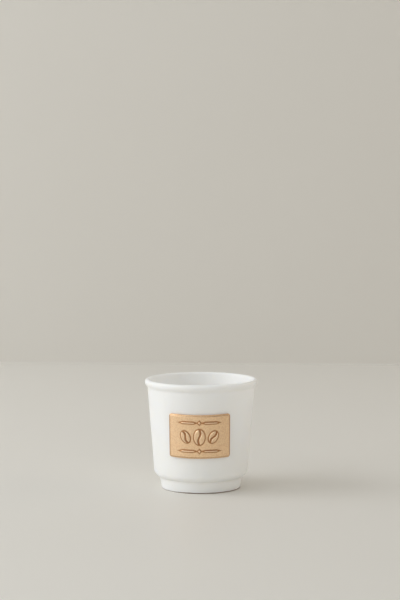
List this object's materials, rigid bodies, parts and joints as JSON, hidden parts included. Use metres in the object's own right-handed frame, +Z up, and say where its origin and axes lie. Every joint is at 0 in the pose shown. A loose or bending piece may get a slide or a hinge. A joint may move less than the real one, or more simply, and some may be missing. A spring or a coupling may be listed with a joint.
{
  "type": "espresso cup",
  "caption": "Handleless white porcelain espresso cup with a rolled lip, a leaning wall, a stepped foot and a curved copper-coloured metal label on the front.",
  "frame": {"origin": "centre of the standing ring, on the table plane", "axes": "+Z up along the cup's axis, and the label faces -Y"},
  "size_m": [0.062, 0.062, 0.0605],
  "materials": {
    "porcelain": "white satin glaze, with a bare fired ring under the foot",
    "label_metal": "satin copper-coloured metal with a fine blasted grain and darker patina in its hollows",
    "adhesive": "dull clear film, seen only as a thin dark seam behind the label"
  },
  "bodies": {
    "root": {"cup_body": "porcelain", "label_plate": "label_metal", "adhesive_film": "adhesive"}
  },
  "joints": []
}
